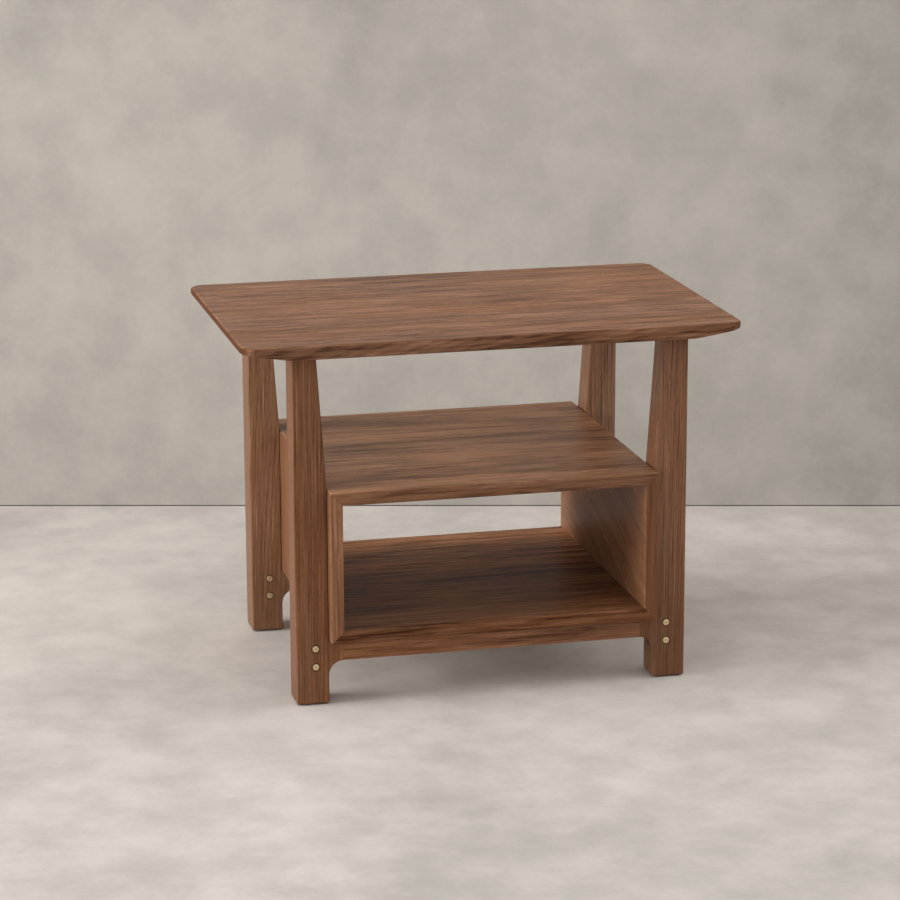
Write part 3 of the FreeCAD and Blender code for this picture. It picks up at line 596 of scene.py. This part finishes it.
def end_profile():
    """Steps outward and new radii of a pin's end, from its rim over the dome into the dimple."""
    return (
        (PIN_EDGE, PIN_RADIUS - PIN_EDGE),
        (PIN_DOME, PIN_RADIUS * PIN_DOME_SHARE),
        (0.0, DIMPLE_RADIUS),
        (-DIMPLE_DEPTH, DIMPLE_RADIUS * DIMPLE_FLOOR_SHARE),
    )


def pair_along(n, geometry, axis, distance):
    """Two copies of a geometry, half the distance to each side along one axis."""
    half = n.math("MULTIPLY", distance, 0.5)
    back = n.math("MULTIPLY", distance, -0.5)
    line = n.add("GeometryNodeMeshLine", mode="END_POINTS")
    line.inputs["Count"].default_value = 2
    n.put(line.inputs["Start Location"], n.join(*[back if index == axis else 0.0 for index in range(3)]))
    n.put(line.inputs["Offset"], n.join(*[half if index == axis else 0.0 for index in range(3)]))
    copies = n.add("GeometryNodeInstanceOnPoints")
    n.put(copies.inputs["Points"], line.outputs["Mesh"])
    n.put(copies.inputs["Instance"], geometry)
    return copies.outputs["Instances"]


def make_pins():
    """The brass pins of the legs, in place of the plain rods."""
    low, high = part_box("brass_pins")
    leg_low, leg_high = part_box("front_left_leg")
    leg_middle = (leg_low.y + leg_high.y) / 2
    spacing = (high.x - low.x - PIN_RADIUS * 2, -leg_middle * 2, high.z - low.z - PIN_RADIUS * 2)
    length = (leg_middle - low.y) * 2
    brass = make_brass()
    carrier = bpy.data.objects.new("pins", bpy.data.meshes.new("pins"))
    bpy.context.scene.collection.objects.link(carrier)
    grown = carrier.modifiers.new("pins", "NODES")
    grown.node_group = pin_tree(brass)
    wanted = {"Radius": PIN_RADIUS, "Length": length, "Along Table": spacing[0], "Front To Back": spacing[1],
              "Up": spacing[2]}
    for item in grown.node_group.interface.items_tree:
        if item.name in wanted:
            grown[item.identifier] = wanted[item.name]
    shape = bpy.data.meshes.new_from_object(carrier.evaluated_get(bpy.context.evaluated_depsgraph_get()))
    bpy.data.objects.remove(carrier)
    shape.transform(Matrix.Translation((low + high) / 2))
    pins = bpy.data.objects.new("turned_brass_pins", shape)
    bpy.context.scene.collection.objects.link(pins)
    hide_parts("brass_pins")
    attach(pins, "root")


def dress_glides():
    """The glides get bronzed steel."""
    steel = make_dark_steel()
    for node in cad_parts:
        if node.endswith("_glide"):
            dress(node, steel)


# Camera, stage and light

def camera_axes():
    """Right, up and forward of the camera."""
    forward = Vector((math.sin(CAMERA_YAW) * math.cos(CAMERA_PITCH),
                      math.cos(CAMERA_YAW) * math.cos(CAMERA_PITCH), -math.sin(CAMERA_PITCH)))
    level = Vector((math.cos(CAMERA_YAW), -math.sin(CAMERA_YAW), 0.0))
    upright = level.cross(forward)
    right = level * math.cos(CAMERA_ROLL) + upright * math.sin(CAMERA_ROLL)
    up = upright * math.cos(CAMERA_ROLL) - level * math.sin(CAMERA_ROLL)
    return right, up, forward


def camera_place():
    right, up, forward = camera_axes()
    return CAMERA_TARGET - right * CAMERA_SIDE - up * CAMERA_RISE - forward * CAMERA_DISTANCE


def add_camera():
    right, up, forward = camera_axes()
    data = bpy.data.cameras.new("camera")
    data.sensor_width = SENSOR_WIDTH
    data.lens = FOCAL_PIXELS / IMAGE_PIXELS * SENSOR_WIDTH
    camera = bpy.data.objects.new("camera", data)
    turned = Matrix((right, up, -forward)).transposed().to_4x4()
    camera.matrix_world = Matrix.Translation(camera_place()) @ turned
    bpy.context.scene.collection.objects.link(camera)
    bpy.context.scene.camera = camera


def floor_point(column, row):
    """The place on the floor that the camera sees at a column and row of the picture."""
    right, up, forward = camera_axes()
    middle = IMAGE_PIXELS / 2
    ray = forward * FOCAL_PIXELS + right * (column - middle) + up * (middle - row)
    start = camera_place()
    return start - ray * (start.z / ray.z)


def flat_piece(name, corners, material):
    mesh = bpy.data.meshes.new(name)
    mesh.from_pydata(corners, [], [range(len(corners))])
    mesh.materials.append(material)
    piece = bpy.data.objects.new(name, mesh)
    bpy.context.scene.collection.objects.link(piece)


def mottled(name, colour, strength=1.0, one_sided=False):
    """A matt surface with faint clouds of the given strength. A one-sided one is clear from behind."""
    material = bpy.data.materials.new(name)
    material.use_nodes = True
    n = Nodes(material.node_tree)
    shader = n.tree.nodes["Principled BSDF"]
    where = n.add("ShaderNodeTexCoord").outputs["Object"]
    broad = n.noise(where, (1.7, 1.7, 1.7), 5.0, 0.6).outputs["Fac"]
    small = n.noise(where, (10.0, 10.0, 10.0), 4.0, 0.65).outputs["Fac"]
    clouds = n.math("ADD", n.smooth(broad, 0.3, 0.7, -0.09, 0.09), n.smooth(small, 0.3, 0.7, -0.07, 0.07))
    clouds = n.math("MULTIPLY", clouds, strength)
    grit = n.noise(where, (120.0, 120.0, 120.0), 2.0).outputs["Fac"]
    light = n.math("ADD", clouds, n.smooth(grit, 0.3, 0.7, 0.985, 1.015))
    n.put(shader.inputs["Base Color"], n.mix(1.0, rgba(colour), light, blend="MULTIPLY"))
    shader.inputs["Roughness"].default_value = 0.85
    shader.inputs["Specular IOR Level"].default_value = 0.2
    if one_sided:
        away = n.add("ShaderNodeNewGeometry").outputs["Backfacing"]
        choose = n.add("ShaderNodeMixShader")
        n.put(choose.inputs[0], away)
        n.put(choose.inputs[1], shader.outputs[0])
        n.put(choose.inputs[2], n.add("ShaderNodeBsdfTransparent").outputs[0])
        n.put(n.tree.nodes["Material Output"].inputs["Surface"], choose.outputs[0])
    return material


def add_stage():
    """A plain pale floor, a wall that stands where the floor ends in the picture, and a strip of painted
    shade at the wall's foot.
    """
    reach = FLOOR_REACH
    flat_piece("floor",
               [(-reach, -reach, 0.0), (reach, -reach, 0.0), (reach, reach, 0.0), (-reach, reach, 0.0)],
               mottled("pale_floor", FLOOR_COLOUR, strength=1.3))
    left = floor_point(0.0, WALL_LINE_PIXEL)
    right = floor_point(IMAGE_PIXELS, WALL_LINE_PIXEL)
    run = (right - left).normalized() * WALL_OVERHANG
    left, right = left - run, right + run
    towards = Vector((run.y, -run.x, 0.0)).normalized() * WALL_SHADE_LINE_OFFSET
    shade_line, top = Vector((0.0, 0.0, WALL_SHADE_LINE)), Vector((0.0, 0.0, WALL_HEIGHT))
    flat_piece("wall", [left + shade_line, right + shade_line, right + top, left + top],
               mottled("pale_wall", WALL_COLOUR, strength=1.15, one_sided=True))
    # Painted shade: a dark strip behind the foot of the wall, seen under it
    shade_line_left, shade_line_right = left - towards, right - towards
    flat_piece("wall_shade_line", [shade_line_left, shade_line_right, shade_line_right + shade_line * 2, shade_line_left + shade_line * 2],
               mottled("wall_shade_line_paint", WALL_SHADE_LINE_COLOUR, one_sided=True))


def add_lamp(name, place, power):
    """A large soft lamp, which leaves no glare of its own on the oiled wood."""
    data = bpy.data.lights.new(name, "AREA")
    data.shape = "SQUARE"
    data.size = LAMP_SIZE
    data.spread = LAMP_SPREAD
    data.energy = power
    data.color = LAMP_COLOUR
    lamp = bpy.data.objects.new(name, data)
    lamp.location = place
    lamp.visible_glossy = False
    lamp.rotation_euler = (CAMERA_TARGET - place).to_track_quat("-Z", "Y").to_euler()
    bpy.context.scene.collection.objects.link(lamp)


def add_light():
    add_lamp("key", KEY_PLACE, KEY_POWER)
    add_lamp("fill", FILL_PLACE, FILL_POWER)
    world = bpy.data.worlds.new("studio")
    world.use_nodes = True
    bpy.context.scene.world = world
    n = Nodes(world.node_tree)
    lit = n.tree.nodes["Background"]
    lit.inputs["Color"].default_value = rgba(SKY_LIGHT)
    lit.inputs["Strength"].default_value = SKY_STRENGTH
    seen = n.add("ShaderNodeBackground")
    seen.inputs["Color"].default_value = rgba(SKY_COLOUR)
    choose = n.add("ShaderNodeMixShader")
    n.put(choose.inputs[0], n.add("ShaderNodeLightPath").outputs["Is Camera Ray"])
    n.put(choose.inputs[1], lit.outputs[0])
    n.put(choose.inputs[2], seen.outputs[0])
    n.put(n.tree.nodes["World Output"].inputs["Surface"], choose.outputs[0])


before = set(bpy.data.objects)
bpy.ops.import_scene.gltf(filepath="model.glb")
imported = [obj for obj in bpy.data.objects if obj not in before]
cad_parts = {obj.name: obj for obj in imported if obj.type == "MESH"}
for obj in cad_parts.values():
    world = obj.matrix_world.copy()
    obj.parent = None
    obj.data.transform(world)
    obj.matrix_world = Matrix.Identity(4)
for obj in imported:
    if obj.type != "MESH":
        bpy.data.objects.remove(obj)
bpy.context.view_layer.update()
bpy.context.scene.view_settings.view_transform = "Standard"
dress_wood()
dress_glides()
make_pins()
add_camera()
add_stage()
add_light()
